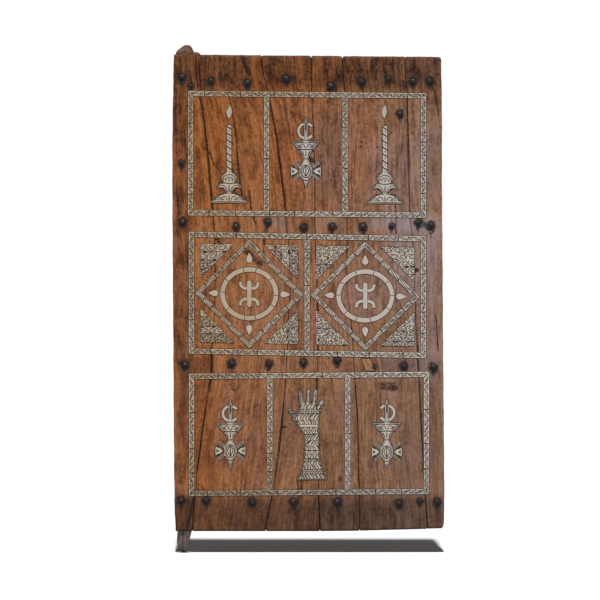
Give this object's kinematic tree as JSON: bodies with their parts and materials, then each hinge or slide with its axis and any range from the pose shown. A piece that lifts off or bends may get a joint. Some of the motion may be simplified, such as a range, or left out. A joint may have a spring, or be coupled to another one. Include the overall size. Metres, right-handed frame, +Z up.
{
  "type": "inlaid wooden pivot door",
  "caption": "Old plank door that swings on its stile's own wooden pivots, with engraved bone inlay of candlesticks, fibulas, lozenges and an open hand on the front, and nailed battens behind.",
  "frame": {"origin": "on the pivot axis, at the underside of the sill socket", "axes": "+Z up along the pivot axis, +X across the leaf from the hinge side to the free edge, -Y out of the decorated front"},
  "size_m": [1.0124, 0.0941, 1.9047],
  "materials": {
    "stile_wood": "red-brown, worn satin",
    "plank_wood": "orange-brown, streaked grain, worn satin",
    "batten_wood": "dark brown, rough adzed",
    "repair_wood": "pale tan, matt",
    "engraved_bone": "polished bone with dark filled engraving",
    "plain_bone": "polished bone",
    "forged_iron": "dark forged iron"
  },
  "bodies": {
    "socket": {"foot_socket": "forged_iron"},
    "leaf": {"pivot_stile": "stile_wood", "plank_1": "plank_wood", "plank_2": "plank_wood", "plank_3": "plank_wood", "plank_4": "plank_wood", "plank_5": "plank_wood", "batten_top": "batten_wood", "batten_upper": "batten_wood", "batten_lower": "batten_wood", "batten_bottom": "batten_wood", "border_upper": "engraved_bone", "border_middle": "engraved_bone", "border_lower": "engraved_bone", "lozenge_left": "engraved_bone", "lozenge_right": "engraved_bone", "corner_left_top_left": "engraved_bone", "corner_left_top_right": "engraved_bone", "corner_left_foot_left": "engraved_bone", "corner_left_foot_right": "engraved_bone", "corner_right_top_left": "engraved_bone", "corner_right_top_right": "engraved_bone", "corner_right_foot_left": "engraved_bone", "corner_right_foot_right": "engraved_bone", "candlestick_left": "engraved_bone", "candlestick_right": "engraved_bone", "fibula_upper": "engraved_bone", "fibula_left": "engraved_bone", "fibula_right": "engraved_bone", "hand": "engraved_bone", "ring_left": "plain_bone", "ring_right": "plain_bone", "yaz_left": "plain_bone", "yaz_right": "plain_bone", "teardrop_left_top": "plain_bone", "teardrop_left_left": "plain_bone", "teardrop_left_bottom": "plain_bone", "teardrop_left_right": "plain_bone", "teardrop_right_top": "plain_bone", "teardrop_right_left": "plain_bone", "teardrop_right_bottom": "plain_bone", "teardrop_right_right": "plain_bone", "flame_left": "plain_bone", "flame_right": "plain_bone", "repair_patch": "repair_wood", "nail_top_1": "forged_iron", "nail_top_2": "forged_iron", "nail_top_3": "forged_iron", "nail_top_4": "forged_iron", "nail_upper_1": "forged_iron", "nail_upper_2": "forged_iron", "nail_upper_3": "forged_iron", "nail_upper_4": "forged_iron", "nail_lower_1": "forged_iron", "nail_lower_2": "forged_iron", "nail_lower_3": "forged_iron", "nail_bottom_1": "forged_iron", "nail_bottom_2": "forged_iron", "nail_bottom_3": "forged_iron", "nail_bottom_4": "forged_iron"}
  },
  "joints": [
    {"name": "leaf_swing", "type": "hinge", "parent": "socket", "child": "leaf", "pos_m": [0, 0, 0], "axis": [0, 0, 1], "range_deg": [0, 100]}
  ]
}
